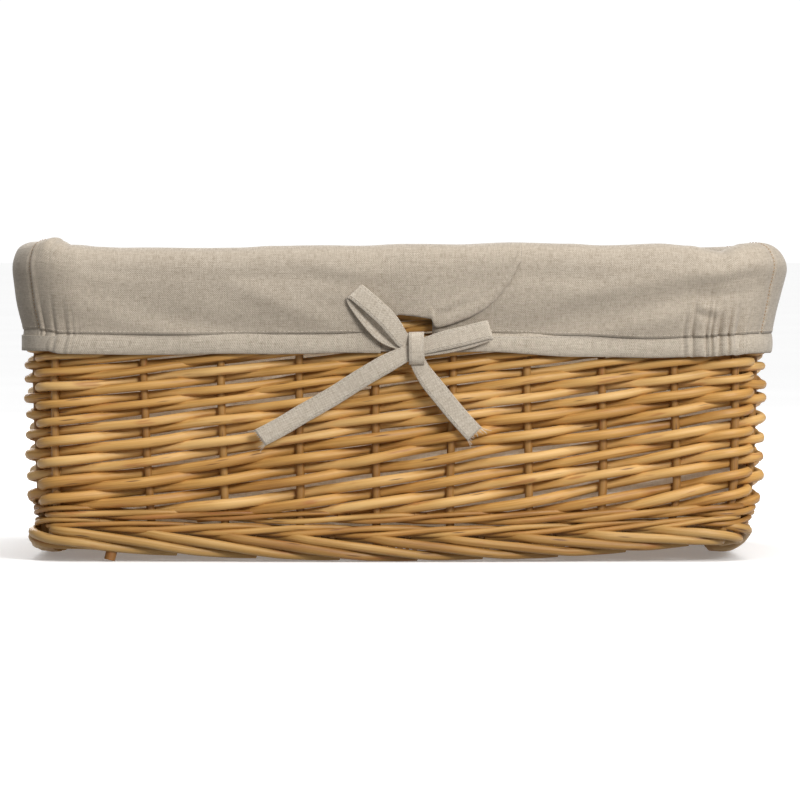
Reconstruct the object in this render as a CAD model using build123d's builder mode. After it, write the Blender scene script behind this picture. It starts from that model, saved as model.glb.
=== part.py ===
from build123d import *
import os
from math import cos, radians, sin, tan

# Rectangular willow basket with a loose linen liner turned over its rim.
# Millimetres, +Z up. The origin is on the ground under the middle of the basket,
# the front is towards -Y and +X runs along the front to the right.

os.makedirs("parts", exist_ok=True)

# ------------------------------------------------------------------ driving sizes
# Willow basket
stake_ring_length = 393.0       # centre line of the stakes at the ground, along X
stake_ring_width = 293.0        # the same, along Y
stake_ring_corner = 20.0        # corner radius of that line
wall_lean = 2.7                 # degrees that every wall leans outward
stake_diameter = 4.5
siding_rod_diameter = 4.3       # rods woven in front of and behind the stakes
front_stakes_count = 10         # two of them stand in the corners
side_stakes_count = 8
front_stake_spacing = 42.2
corner_stake_angle = 35.0       # degrees round the corner from the front's outward direction
foot_height = 14.0
lower_wale_height = 14.0
siding_height = 117.0
upper_wale_height = 7.0
border_height = 22.5
border_overhang = 3.0           # how far the top border stands out of the wall, each face
border_rounding = 5.0
foot_bevel = 3.0
base_thickness = 9.0
base_stick_diameter = 6.0
base_stick_count = 7
base_stick_spacing = 38.0

# Linen liner
cloth_thickness = 0.9
cuff_drop = 61.0                # top of the cuff down to the hem's lower edge
casing_margin = 0.9             # casing above and below its ribbon
slit_width = 30.7
slit_centre = 2.5               # X of the slit in the front cuff
slit_height = 21.0
ribbon_width = 10.6
ribbon_thickness = 0.6
knot_width = 9.0
knot_drop = 5.4                 # how far the knot reaches below the ribbon in the casing
knot_centre = 9.0               # X of the knot
knot_stand_out = 4.0            # how far the knot stands in front of the casing
left_loop_length = 42.0
left_loop_angle = 138.0         # degrees from +X, seen from the front
left_loop_tip = 11.0
right_loop_length = 38.0
right_loop_angle = 8.0
right_loop_tip = 12.0
left_tail_length = 94.0
left_tail_angle = 209.5
right_tail_length = 52.0
right_tail_angle = 304.7

# Clearances
stake_clearance = 0.15          # round a stake or a base stick in its weave
stake_end_gap = 0.5
liner_clearance = 0.5           # between the liner and the willow
casing_clearance = 0.1          # round the ribbon in its casing
tail_clearance = 0.5            # round a loose ribbon tail

# ------------------------------------------------------------------ worked-out sizes
wall_thickness = stake_diameter + 2 * siding_rod_diameter
corner_x = stake_ring_length / 2 - stake_ring_corner
corner_y = stake_ring_width / 2 - stake_ring_corner
lean_slope = tan(radians(wall_lean))

wale_bottom = foot_height
siding_bottom = wale_bottom + lower_wale_height
upper_wale_bottom = siding_bottom + siding_height
border_bottom = upper_wale_bottom + upper_wale_height
border_top = border_bottom + border_height

OUTWARD = {"front": (0, -1), "back": (0, 1), "left": (-1, 0), "right": (1, 0)}
HALF_RUN = {"front": corner_x, "back": corner_x, "left": corner_y, "right": corner_y}
CORNERS = {     # which way each corner lies, and the direction its quarter turn starts from
    "front_left": (-1, -1, 180),
    "front_right": (1, -1, 270),
    "back_right": (1, 1, 0),
    "back_left": (-1, 1, 90),
}
LONG_SIDES = ("front", "back")
SHORT_SIDES = ("left", "right")


def ring_radius(height):
    """Corner radius of the stakes' centre line at a height: all else is an offset of it."""
    return stake_ring_corner + height * lean_slope


def wall_outside(height):
    return ring_radius(height) + wall_thickness / 2


def wall_inside(height):
    return ring_radius(height) - wall_thickness / 2


border_outside = wall_outside(border_bottom) + border_overhang
border_inside = wall_inside(border_bottom) - border_overhang
foot_inside = wall_inside(0)

liner_floor_bottom = foot_height + liner_clearance
turnover_bottom = border_top + liner_clearance
liner_top = turnover_bottom + cloth_thickness
pouch_reach_low = wall_inside(foot_height) - liner_clearance
pouch_reach_high = border_inside - liner_clearance
cuff_inside = border_outside + liner_clearance
cuff_outside = cuff_inside + cloth_thickness
casing_wall = cloth_thickness / 2
casing_height = ribbon_width + 2 * casing_margin
ribbon_inside = cuff_inside + casing_wall + casing_clearance
ribbon_outside = ribbon_inside + ribbon_thickness
casing_outside = ribbon_outside + casing_clearance + casing_wall
hem_bottom = liner_top - cuff_drop
casing_top = hem_bottom + casing_height
slit_left = slit_centre - slit_width / 2
slit_right = slit_centre + slit_width / 2
casing_middle = hem_bottom + casing_height / 2
knot_left = knot_centre - knot_width / 2
knot_right = knot_centre + knot_width / 2
knot_height = ribbon_width + knot_drop
knot_edge = knot_stand_out / 4
front_face = corner_y + casing_outside      # distance of the casing's front from the middle


# ------------------------------------------------------------------ shared shapes
# A section is a list of (reach, height): reach is measured outward from the line
# that joins the corner centres, so one section serves a straight run and a corner.
def side_plane(side):
    nx, ny = OUTWARD[side]
    return Plane(origin=(nx * corner_x, ny * corner_y, 0), x_dir=(nx, ny, 0), z_dir=(ny, -nx, 0))


def corner_plane(corner):
    sx, sy, start = CORNERS[corner]
    nx, ny = cos(radians(start)), sin(radians(start))
    return Plane(origin=(sx * corner_x, sy * corner_y, 0), x_dir=(nx, ny, 0), z_dir=(ny, -nx, 0))


def draw_section(plane, outline, rounding=0.0):
    """One closed section, placed on its plane."""
    with BuildSketch(plane) as section:
        with BuildLine():
            Polyline(*outline, close=True)
        make_face()
        if rounding:
            fillet(section.vertices(), rounding)
    return section.sketch


def straight_run(side, outline, rounding=0.0, mode=Mode.ADD):
    """A straight length of a section along one side, in the part block that is open."""
    extrude(draw_section(side_plane(side), outline, rounding), amount=HALF_RUN[side], both=True, mode=mode)


def corner_run(corner, outline, rounding=0.0, mode=Mode.ADD):
    """The quarter turn that joins two straight lengths."""
    sx, sy, _ = CORNERS[corner]
    upright = Axis((sx * corner_x, sy * corner_y, 0), (0, 0, 1))
    revolve(draw_section(corner_plane(corner), outline, rounding), axis=upright, revolution_arc=90, mode=mode)


def leaning_section(low, high, inside, outside):
    return [(inside(low), low), (outside(low), low), (outside(high), high), (inside(high), high)]


def flat_section(inside, outside, low, high):
    return [(inside, low), (outside, low), (outside, high), (inside, high)]


def write_piece(piece, name):
    piece.part.label = name
    export_step(piece.part, f"parts/{name}.step")


# ------------------------------------------------------------------ stakes
def spread_evenly(count, spacing):
    """Places along a side, the same either way from its middle."""
    return [(i - (count - 1) / 2) * spacing for i in range(count)]


straight_front_count = front_stakes_count - 2
side_stake_spacing = 2 * (corner_y - stake_diameter) / (side_stakes_count - 1)
front_stake_offsets = spread_evenly(straight_front_count, front_stake_spacing)
side_stake_offsets = spread_evenly(side_stakes_count, side_stake_spacing)
STAKE_OFFSETS = {
    "front": front_stake_offsets,
    "back": front_stake_offsets,
    "left": side_stake_offsets,
    "right": side_stake_offsets,
}
CORNER_STAKE_TURNS = {
    "front_left": 90 - corner_stake_angle,
    "front_right": corner_stake_angle,
    "back_right": 90 - corner_stake_angle,
    "back_left": corner_stake_angle,
}
stake_bottom = foot_height + stake_end_gap
stake_length = (border_bottom - stake_end_gap - stake_bottom) / cos(radians(wall_lean))
channel_margin = 2 * stake_diameter         # a channel runs this far past the ends of its stake
channel_diameter = stake_diameter + 2 * stake_clearance


def leaning_plane(x, y, nx, ny, height):
    """Plane square to a leaning stake whose foot on the ground line is at (x, y)."""
    outward = height * lean_slope
    origin = (x + nx * outward, y + ny * outward, height)
    return Plane(origin=origin, x_dir=(-ny, nx, 0), z_dir=(nx * lean_slope, ny * lean_slope, 1))


def side_stakes(side, diameter, margin=0.0, mode=Mode.ADD):
    """The stakes of one straight side, or the channels that they stand in."""
    nx, ny = OUTWARD[side]
    foot_x = nx * (corner_x + stake_ring_corner)
    foot_y = ny * (corner_y + stake_ring_corner)
    with BuildSketch(leaning_plane(foot_x, foot_y, nx, ny, stake_bottom - margin)) as feet:
        with Locations(*[(offset, 0) for offset in STAKE_OFFSETS[side]]):
            Circle(diameter / 2)
    extrude(feet.sketch, amount=stake_length + 2 * margin, mode=mode)


def corner_stake(corner, diameter, margin=0.0, mode=Mode.ADD):
    """The one stake of a corner, or its channel."""
    sx, sy, start = CORNERS[corner]
    angle = radians(start + CORNER_STAKE_TURNS[corner])
    nx, ny = cos(angle), sin(angle)
    foot_x = sx * corner_x + nx * stake_ring_corner
    foot_y = sy * corner_y + ny * stake_ring_corner
    with BuildSketch(leaning_plane(foot_x, foot_y, nx, ny, stake_bottom - margin)) as foot:
        Circle(diameter / 2)
    extrude(foot.sketch, amount=stake_length + 2 * margin, mode=mode)


for side, corners in (("front", ("front_left", "front_right")), ("back", ("back_right", "back_left"))):
    with BuildPart() as stakes:
        side_stakes(side, stake_diameter)
        for corner in corners:
            corner_stake(corner, stake_diameter)
    write_piece(stakes, f"{side}_stakes")

for side in SHORT_SIDES:
    with BuildPart() as stakes:
        side_stakes(side, stake_diameter)
    write_piece(stakes, f"{side}_stakes")

# ------------------------------------------------------------------ base
base_bottom = foot_height - base_thickness
base_stick_height = base_bottom + base_thickness / 2
base_half_length = corner_x + foot_inside
base_half_width = corner_y + foot_inside


def base_sticks_along(diameter, mode=Mode.ADD):
    """The long sticks of the base, or the channels for them, from end to end."""
    with BuildSketch(Plane.YZ) as ends:
        with Locations((0, base_stick_height)):
            with GridLocations(base_stick_spacing, base_stick_spacing, base_stick_count, 1):
                Circle(diameter / 2)
    extrude(ends.sketch, amount=base_half_length, both=True, mode=mode)


with BuildPart() as base_sticks:
    base_sticks_along(base_stick_diameter)
write_piece(base_sticks, "base_sticks")

with BuildPart() as base_weave:
    with BuildSketch(Plane.XY.offset(base_bottom)):
        RectangleRounded(2 * base_half_length, 2 * base_half_width, foot_inside)
    extrude(amount=base_thickness)
    base_sticks_along(base_stick_diameter + 2 * stake_clearance, mode=Mode.SUBTRACT)
write_piece(base_weave, "base_weave")


# ------------------------------------------------------------------ woven bands
def write_band(name, outline, rounding=0.0, channels=False):
    """One band of weaving round the basket: long sides, short sides and corners."""
    for group, sides in (("long_sides", LONG_SIDES), ("short_sides", SHORT_SIDES)):
        with BuildPart() as runs:
            for side in sides:
                straight_run(side, outline, rounding)
            if channels:
                for side in sides:
                    side_stakes(side, channel_diameter, channel_margin, Mode.SUBTRACT)
        write_piece(runs, f"{name}_{group}")
    write_band_corners(f"{name}_corners", outline, rounding, channels)


def write_band_corners(name, outline, rounding=0.0, channels=False):
    with BuildPart() as turns:
        for corner in CORNERS:
            corner_run(corner, outline, rounding)
        if channels:
            for corner in CORNERS:
                corner_stake(corner, channel_diameter, channel_margin, Mode.SUBTRACT)
    write_piece(turns, name)


foot_outline = [
    (foot_inside, 0),
    (wall_outside(0) - foot_bevel, 0),
    (wall_outside(foot_bevel), foot_bevel),
    (wall_outside(foot_height), foot_height),
    (foot_inside, foot_height),
]
write_band("foot_border", foot_outline)
lower_wale_outline = leaning_section(wale_bottom, siding_bottom, wall_inside, wall_outside)
write_band("lower_wale", lower_wale_outline, channels=True)

siding_outline = leaning_section(siding_bottom, upper_wale_bottom, wall_inside, wall_outside)
for side in OUTWARD:
    with BuildPart() as siding:
        straight_run(side, siding_outline)
        side_stakes(side, channel_diameter, channel_margin, Mode.SUBTRACT)
    write_piece(siding, f"{side}_siding")
write_band_corners("siding_corners", siding_outline, channels=True)

upper_wale_outline = leaning_section(upper_wale_bottom, border_bottom, wall_inside, wall_outside)
write_band("upper_wale", upper_wale_outline, channels=True)
border_outline = flat_section(border_inside, border_outside, border_bottom, border_top)
write_band("top_border", border_outline, border_rounding)

# ------------------------------------------------------------------ liner: pouch
pouch_outline = [
    (pouch_reach_low - cloth_thickness, liner_floor_bottom),
    (pouch_reach_low, liner_floor_bottom),
    (pouch_reach_high, turnover_bottom),
    (pouch_reach_high - cloth_thickness, turnover_bottom),
]
for side in OUTWARD:
    with BuildPart() as pouch_wall:
        straight_run(side, pouch_outline)
    write_piece(pouch_wall, f"liner_{side}_wall")
write_band_corners("liner_corner_seams", pouch_outline)

floor_reach = pouch_reach_low - cloth_thickness
with BuildPart() as liner_floor:
    with BuildSketch(Plane.XY.offset(liner_floor_bottom)):
        RectangleRounded(2 * (corner_x + floor_reach), 2 * (corner_y + floor_reach), floor_reach)
    extrude(amount=cloth_thickness)
write_piece(liner_floor, "liner_floor")

# ------------------------------------------------------------------ liner: turned-over cuff
turnover_outline = flat_section(pouch_reach_high - cloth_thickness, cuff_outside, turnover_bottom, liner_top)
write_band("rim_turnover", turnover_outline)

cuff_outline = flat_section(cuff_inside, cuff_outside, casing_top, turnover_bottom)
cut_through = 4 * cloth_thickness


def cut_front_slit():
    """Take the slit out of whatever the open part block holds at the front."""
    slit_middle_y = -(corner_y + (cuff_inside + casing_outside) / 2)
    with Locations((slit_centre, slit_middle_y, hem_bottom)):
        Box(slit_width, cut_through, 2 * slit_height, mode=Mode.SUBTRACT)


for side in OUTWARD:
    with BuildPart() as cuff:
        straight_run(side, cuff_outline)
        if side == "front":
            cut_front_slit()
    write_piece(cuff, f"{side}_cuff")
write_band_corners("cuff_corners", cuff_outline)

# ------------------------------------------------------------------ liner: hem casing and its ribbon
casing_outline = flat_section(cuff_inside, casing_outside, hem_bottom, casing_top)
channel_outline = flat_section(
    ribbon_inside - casing_clearance,
    ribbon_outside + casing_clearance,
    casing_middle - ribbon_width / 2 - casing_clearance,
    casing_middle + ribbon_width / 2 + casing_clearance,
)


def hollow_casing(side):
    """A straight length of the hem tube, in the part block that is open."""
    straight_run(side, casing_outline)
    straight_run(side, channel_outline, mode=Mode.SUBTRACT)


for name, keep_from, keep_to in (("left", -corner_x, slit_left), ("right", slit_right, corner_x)):
    with BuildPart() as front_casing:
        hollow_casing("front")
        with Locations(((keep_from + keep_to) / 2, -corner_y - cuff_inside, casing_middle)):
            Box(keep_to - keep_from, 2 * cut_through, 2 * casing_height, mode=Mode.INTERSECT)
    write_piece(front_casing, f"front_{name}_casing")

for side in ("back", "left", "right"):
    with BuildPart() as casing:
        hollow_casing(side)
    write_piece(casing, f"{side}_casing")

with BuildPart() as casing_corners:
    for corner in CORNERS:
        corner_run(corner, casing_outline)
        corner_run(corner, channel_outline, mode=Mode.SUBTRACT)
write_piece(casing_corners, "casing_corners")

knot_back = corner_y + ribbon_inside
knot_front = front_face + knot_stand_out
with BuildPart() as drawstring:
    with BuildSketch(Plane.XY.offset(casing_middle - ribbon_width / 2)):
        RectangleRounded(2 * (corner_x + ribbon_outside), 2 * (corner_y + ribbon_outside), ribbon_outside)
        RectangleRounded(
            2 * (corner_x + ribbon_inside), 2 * (corner_y + ribbon_inside), ribbon_inside, mode=Mode.SUBTRACT
        )
    extrude(amount=ribbon_width)
    with Locations((knot_centre, -(knot_back + knot_front) / 2, casing_middle)):
        Box(knot_width, knot_front - knot_back + cut_through, 2 * ribbon_width, mode=Mode.SUBTRACT)
write_piece(drawstring, "drawstring")

# ------------------------------------------------------------------ liner: bow
knot_middle = casing_middle - (knot_height - ribbon_width) / 2
knot_bottom = knot_middle - knot_height / 2
with BuildPart() as bow_knot:
    with Locations((knot_centre, -(knot_back + knot_front) / 2, knot_middle)):
        Box(knot_width, knot_front - knot_back, knot_height)
    fillet(bow_knot.faces().sort_by(Axis.Y)[0].edges(), knot_edge)
write_piece(bow_knot, "bow_knot")

tail_back = front_face + tail_clearance
loop_back = tail_back + ribbon_thickness + tail_clearance
loop_thickness = knot_front - loop_back


def front_plane(distance):
    """Upright plane in front of the cuff, with X to the right and Y up."""
    return Plane(origin=(0, -distance, 0), x_dir=(1, 0, 0), z_dir=(0, -1, 0))


def ribbon_loop(root_x, length, angle, tip_width):
    """A loop of the bow as one flat lens that starts on a side of the knot."""
    along_x, along_z = cos(radians(angle)), sin(radians(angle))
    tip_x, tip_z = root_x + length * along_x, casing_middle + length * along_z
    half_tip, half_root = tip_width / 2, ribbon_width / 2
    outline = [
        (root_x, casing_middle - half_root),
        (tip_x + along_z * half_tip, tip_z - along_x * half_tip),
        (tip_x - along_z * half_tip, tip_z + along_x * half_tip),
        (root_x, casing_middle + half_root),
    ]
    extrude(draw_section(front_plane(loop_back), outline), amount=loop_thickness)


with BuildPart() as left_loop:
    ribbon_loop(knot_left, left_loop_length, left_loop_angle, -left_loop_tip)
write_piece(left_loop, "left_loop")

with BuildPart() as right_loop:
    ribbon_loop(knot_right, right_loop_length, right_loop_angle, right_loop_tip)
write_piece(right_loop, "right_loop")


def ribbon_tail(root_x, root_z, length, angle):
    """A loose tail of ribbon: a flat strip that starts square at its root."""
    with BuildSketch(front_plane(tail_back)) as strip:
        with Locations(Location((root_x, root_z), angle)):
            with Locations((length / 2, 0)):
                Rectangle(length, ribbon_width)
    extrude(strip.sketch, amount=ribbon_thickness)


def half_spread(angle):
    """Half of a tail's square end, measured across and upward."""
    return abs(sin(radians(angle))) * ribbon_width / 2, abs(cos(radians(angle))) * ribbon_width / 2


across, upward = half_spread(left_tail_angle)
left_root = (knot_left - tail_clearance - across, knot_bottom + upward)
with BuildPart() as left_tail:
    ribbon_tail(*left_root, left_tail_length, left_tail_angle)
write_piece(left_tail, "left_tail")

across, upward = half_spread(right_tail_angle)
right_root = (knot_right - knot_edge - across, knot_bottom - tail_clearance - upward)
with BuildPart() as right_tail:
    ribbon_tail(*right_root, right_tail_length, right_tail_angle)
write_piece(right_tail, "right_tail")

length, width = 2 * (corner_x + casing_outside), 2 * (corner_y + casing_outside)
print(f"overall {length:.1f} x {width:.1f} x {liner_top:.1f} mm without the bow")
for name, root in (("left", left_root), ("right", right_root)):
    print(f"{name} tail root at x {root[0]:.2f}, z {root[1]:.2f}")
print(f"tail plane y {-(tail_back + ribbon_thickness / 2):.2f}")
print(f"pouch floor top {liner_floor_bottom + cloth_thickness:.2f}, corner radius there {floor_reach:.2f}")
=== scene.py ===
# %% [markdown]
# # A woven willow basket with a linen liner
#
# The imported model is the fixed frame: it says where every wall, rim and ribbon is.
# This lesson weaves real rods along those walls and sews a real liner over the rim.
# Every length is in metres. The front of the basket faces -Y.

# %% Load the frame
import math
import random

import bpy
from mathutils import Matrix, Vector, noise


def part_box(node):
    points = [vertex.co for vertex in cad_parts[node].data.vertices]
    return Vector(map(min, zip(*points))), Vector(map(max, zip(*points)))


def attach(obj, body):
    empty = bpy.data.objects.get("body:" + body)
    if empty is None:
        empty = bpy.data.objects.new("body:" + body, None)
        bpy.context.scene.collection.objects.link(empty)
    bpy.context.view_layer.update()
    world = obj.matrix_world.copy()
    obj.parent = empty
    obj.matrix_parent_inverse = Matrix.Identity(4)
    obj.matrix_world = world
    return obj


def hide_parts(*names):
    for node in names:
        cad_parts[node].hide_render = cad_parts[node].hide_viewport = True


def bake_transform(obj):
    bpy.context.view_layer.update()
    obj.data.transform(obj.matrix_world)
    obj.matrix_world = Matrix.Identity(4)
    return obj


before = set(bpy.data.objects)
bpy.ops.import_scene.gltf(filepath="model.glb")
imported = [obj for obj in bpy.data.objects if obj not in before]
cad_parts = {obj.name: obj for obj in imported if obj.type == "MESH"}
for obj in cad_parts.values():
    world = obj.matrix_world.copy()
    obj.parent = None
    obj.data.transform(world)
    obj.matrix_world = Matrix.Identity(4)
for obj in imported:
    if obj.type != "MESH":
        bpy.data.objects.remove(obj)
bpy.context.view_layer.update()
MM = 0.001


# %% Small helpers
def clamp(value):
    """The value, held between 0 and 1."""
    return max(0.0, min(1.0, value))


def ease(share):
    """A share that starts and ends gently."""
    return share * share * (3 - 2 * share)


def running_length(points, unit=1.0):
    """The distance along a line of points at each of them."""
    distances = [0.0]
    for before, after in zip(points, points[1:]):
        distances.append(distances[-1] + (after - before).length * unit)
    return distances


def band_nodes(name):
    """The three nodes of a band that runs right round the basket."""
    return [f"{name}_long_sides", f"{name}_short_sides", f"{name}_corners"]


def height_range(node):
    """The lowest and highest point of a node."""
    low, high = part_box(node)
    return low[2], high[2]


def edit_mesh(operation, **settings):
    """Run one mesh operation on the whole of the active piece."""
    bpy.ops.object.mode_set(mode="EDIT")
    bpy.ops.mesh.select_all(action="SELECT")
    operation(**settings)
    bpy.ops.object.mode_set(mode="OBJECT")


def settle(piece, body, nodes=()):
    """Give a piece its body, and let it stand for nodes of the frame."""
    if nodes:
        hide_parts(*nodes)
    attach(piece, body)


# %% [markdown]
# ## The camera, the light and the floor
#
# A long lens at the height of the rim looks straight at the front, so the far rim
# hides behind the near one. Broad soft lamps keep the shadows between the rods open.

# %% Camera
front_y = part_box("front_cuff")[0][1]
rim_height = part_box("rim_turnover_long_sides")[1][2]
SENSOR = 36                    # the camera's picture is this many millimetres wide inside
ABOVE_RIM = 12 * MM


def add_camera(distance, aim_height, seen_width):
    """A level-sided view of the front: seen_width is how much of the front plane the picture spans."""
    camera = bpy.data.objects.new("camera", bpy.data.cameras.new("camera"))
    bpy.context.scene.collection.objects.link(camera)
    camera.data.sensor_width = SENSOR
    place = Vector((0, front_y - distance, rim_height + ABOVE_RIM))
    aim = Vector((0, front_y, aim_height))
    camera.location = place
    camera.rotation_euler = (aim - place).to_track_quat("-Z", "Y").to_euler()
    camera.data.lens = SENSOR * (aim - place).length / seen_width
    bpy.context.scene.camera = camera
    return camera


camera = add_camera(distance=4.0, aim_height=0.0900, seen_width=0.442)
print("lens", round(camera.data.lens, 1), "mm")

# %% Floor, backdrop and lamps
bpy.ops.object.select_all(action="DESELECT")
bpy.ops.mesh.primitive_plane_add(size=60, location=(0, 0, 0))
floor = bpy.context.object
floor.name = "floor"
edit_mesh(bpy.ops.mesh.subdivide, number_cuts=1)
# The object stands on a white floor, but isn't lit from below by it.
floor.visible_diffuse = False


def add_lamp(name, place, aim, size, power):
    lamp = bpy.data.objects.new(name, bpy.data.lights.new(name, "AREA"))
    bpy.context.scene.collection.objects.link(lamp)
    lamp.data.shape = "RECTANGLE"
    lamp.data.size, lamp.data.size_y = size
    lamp.data.energy = power
    lamp.location = place
    lamp.rotation_euler = (Vector(aim) - Vector(place)).to_track_quat("-Z", "Y").to_euler()
    return lamp


add_lamp("key", (1.4, -2.6, 1.3), (0, 0, 0.08), (1.0, 0.8), 70)
add_lamp("back", (-0.8, 2.4, 1.1), (0, 0, 0.1), (1.2, 1.0), 36)
sun = bpy.data.objects.new("overhead", bpy.data.lights.new("overhead", "SUN"))
bpy.context.scene.collection.objects.link(sun)
sun.data.energy = 1.95
sun.data.angle = math.radians(50)
sun.rotation_euler = (math.radians(12), math.radians(10), 0)

# The sky is dimmer as a light than it looks, so the lamps can model the rods.
world = bpy.data.worlds.new("studio")
bpy.context.scene.world = world
world.use_nodes = True
sky = world.node_tree.nodes["Background"]
sky.inputs["Color"].default_value = (1, 1, 1, 1)
ray = world.node_tree.nodes.new("ShaderNodeLightPath")
strength = world.node_tree.nodes.new("ShaderNodeMapRange")
strength.inputs["To Min"].default_value = 0.28
strength.inputs["To Max"].default_value = 1.05
world.node_tree.links.new(ray.outputs["Is Camera Ray"], strength.inputs["Value"])
world.node_tree.links.new(strength.outputs["Result"], sky.inputs["Strength"])
bpy.context.scene.view_settings.view_transform = "Standard"

# %% [markdown]
# ## Writing a finish as arithmetic
#
# A procedural finish is a sum of simple patterns. The two small classes below let
# Python's own operators add the Math nodes, so a recipe reads like a formula.


# %% Shader arithmetic
class Amount:
    """A number that changes over a surface: a node socket that operators can combine."""

    def __init__(self, finish, socket):
        self.finish = finish
        self.socket = socket

    def join(self, operation, first, second):
        return self.finish.amount("ShaderNodeMath", {"operation": operation}, {0: first, 1: second})

    def __add__(self, other):
        return self.join("ADD", self, other)

    def __sub__(self, other):
        return self.join("SUBTRACT", self, other)

    def __rsub__(self, other):
        return self.join("SUBTRACT", other, self)

    def __mul__(self, other):
        return self.join("MULTIPLY", self, other)


class Finish:
    """One material, built up node by node."""

    def __init__(self, name):
        self.material = bpy.data.materials.new(name)
        self.material.use_nodes = True
        self.nodes = self.material.node_tree.nodes
        self.shader = self.nodes["Principled BSDF"]

    def node(self, kind, settings, values):
        made = self.nodes.new(kind)
        for key, value in settings.items():
            if key == "stops":
                self.set_stops(made.color_ramp, value)
            else:
                setattr(made, key, value)
        for key, value in values.items():
            if isinstance(value, Amount):
                self.material.node_tree.links.new(value.socket, made.inputs[key])
            else:
                made.inputs[key].default_value = value
        return made

    def set_stops(self, ramp, stops):
        while len(ramp.elements) < len(stops):
            ramp.elements.new(0.5)
        for element, (place, colour) in zip(ramp.elements, stops):
            element.position = place
            element.color = (*colour, 1)

    def amount(self, kind, settings, values, output=0):
        return Amount(self, self.node(kind, settings, values).outputs[output])

    def attribute(self, name, output="Vector"):
        return self.amount("ShaderNodeAttribute", {"attribute_name": name}, {}, output)

    def uv(self, name):
        return self.amount("ShaderNodeUVMap", {"uv_map": name}, {})

    def stretch(self, where, scale):
        return self.amount("ShaderNodeVectorMath", {"operation": "MULTIPLY"}, {0: where, 1: scale})

    def noise(self, where, scale=1.0, detail=2.0, roughness=0.5):
        values = {"Vector": where, "Scale": scale, "Detail": detail, "Roughness": roughness}
        return self.amount("ShaderNodeTexNoise", {}, values)

    def streaks(self, where, scales, detail=1.0, roughness=0.5):
        """Noise that is drawn out by its own scale along each axis."""
        return self.noise(self.stretch(where, scales), 1.0, detail, roughness)

    def reshape(self, operation, value):
        return self.amount("ShaderNodeMath", {"operation": operation}, {0: value})

    def between(self, value, low, high):
        """0 below low, 1 above high, smooth between."""
        values = {"Value": value, "From Min": low, "From Max": high}
        return self.amount("ShaderNodeMapRange", {"interpolation_type": "SMOOTHSTEP"}, values)

    def ramp(self, value, stops):
        return self.amount("ShaderNodeValToRGB", {"stops": stops}, {"Fac": value})

    def mix(self, share, first, second):
        """Mix two colours: sockets 6 and 7 of the node, and 2 of its outputs, are the colour ones."""
        return self.amount("ShaderNodeMix", {"data_type": "RGBA"}, {0: share, 6: first, 7: second}, 2)

    def bump(self, height, distance, strength=1.0):
        values = {"Height": height, "Distance": distance, "Strength": strength}
        return self.amount("ShaderNodeBump", {}, values)

    def feed(self, **inputs):
        """Link or set inputs of the shader: underscores stand for spaces."""
        for key, value in inputs.items():
            socket = self.shader.inputs[key.replace("_", " ")]
            if isinstance(value, Amount):
                self.material.node_tree.links.new(value.socket, socket)
            else:
                socket.default_value = value


# %% Floor finish
paper = Finish("pale_paper")
place = paper.amount("ShaderNodeTexCoord", {}, {}, "Object")
paper.feed(
    Base_Color=paper.ramp(paper.noise(place, 3.0), [(0.3, (0.90, 0.90, 0.90)), (0.7, (0.94, 0.94, 0.94))]),
    Roughness=0.9,
    Emission_Color=(1, 1, 1, 1),
    Emission_Strength=0.18,
)
floor.data.materials.append(paper.material)

# %% [markdown]
# ## The willow finish
#
# Buff willow is a smooth rod the colour of honey. Each rod has its own tone, long
# grain streaks, amber and green-tan stretches, and small dark bud scars. Every rod
# remembers where its wood was before it was bent, in an attribute called grain, so
# the streaks follow each bend.


# %% Willow
def willow(name, pale, middle, deep, gloss=0.42):
    finish = Finish(name)
    wood = finish.attribute("grain")
    tone = finish.attribute("tone", "Fac")
    streaks = finish.streaks(wood, (14, 900, 900), 3.0, 0.6)
    patches = finish.streaks(wood, (22, 60, 60), 2.0)
    shade = streaks * 0.5 + patches * 0.5 + (tone - 0.5) * 0.28
    colour = finish.ramp(shade, [(0.24, deep), (0.45, middle), (0.68, pale)])
    cells = finish.amount(
        "ShaderNodeTexVoronoi",
        {"feature": "F1"},
        {"Vector": finish.stretch(wood, (26, 260, 260)), "Scale": 1.0, "Randomness": 1.0},
        "Distance",
    )
    scar = 1 - finish.between(cells, 0.05, 0.16)
    colour = finish.mix(scar * 0.8, colour, (0.10, 0.035, 0.012, 1))
    rust = finish.between(finish.streaks(wood, (40, 300, 300), 2.0), 0.60, 0.74)
    colour = finish.mix(rust * 0.6, colour, (0.36, 0.12, 0.03, 1))
    fibres = finish.streaks(wood, (60, 3500, 3500), 2.0)
    relief = fibres * 0.35 + streaks * 0.65 - scar * 0.5
    finish.feed(
        Base_Color=colour,
        Roughness=finish.between(streaks, 0.2, 0.8) * 0.16 + gloss,
        Normal=finish.bump(relief, 0.25 * MM, 0.6),
        Specular_IOR_Level=0.45,
    )
    return finish.material


willow_finishes = {
    "siding": willow("willow_siding", (0.76, 0.47, 0.175), (0.585, 0.31, 0.08), (0.35, 0.15, 0.03)),
    # The stakes are painted much darker than their own ends in the borders: painted shade for the stakes
    # seen in the gaps between the siding rods.
    "stake": willow("willow_stake", (0.46, 0.25, 0.07), (0.35, 0.17, 0.04), (0.22, 0.09, 0.018)),
    "wale": willow("willow_wale", (0.62, 0.37, 0.12), (0.46, 0.23, 0.055), (0.27, 0.105, 0.02)),
    "border": willow("willow_border", (0.60, 0.37, 0.135), (0.43, 0.23, 0.06), (0.27, 0.115, 0.024)),
}
print("willow finishes:", ", ".join(willow_finishes))

# %% [markdown]
# ## The ring that everything follows
#
# Seen from above the basket is a rectangle with round corners, and it widens towards
# the rim. One function places a point by how far round, how high and how far outward
# it is. The long sides belly out a little, and the foot lifts slightly at its corners,
# as a hand-woven basket does.

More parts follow.
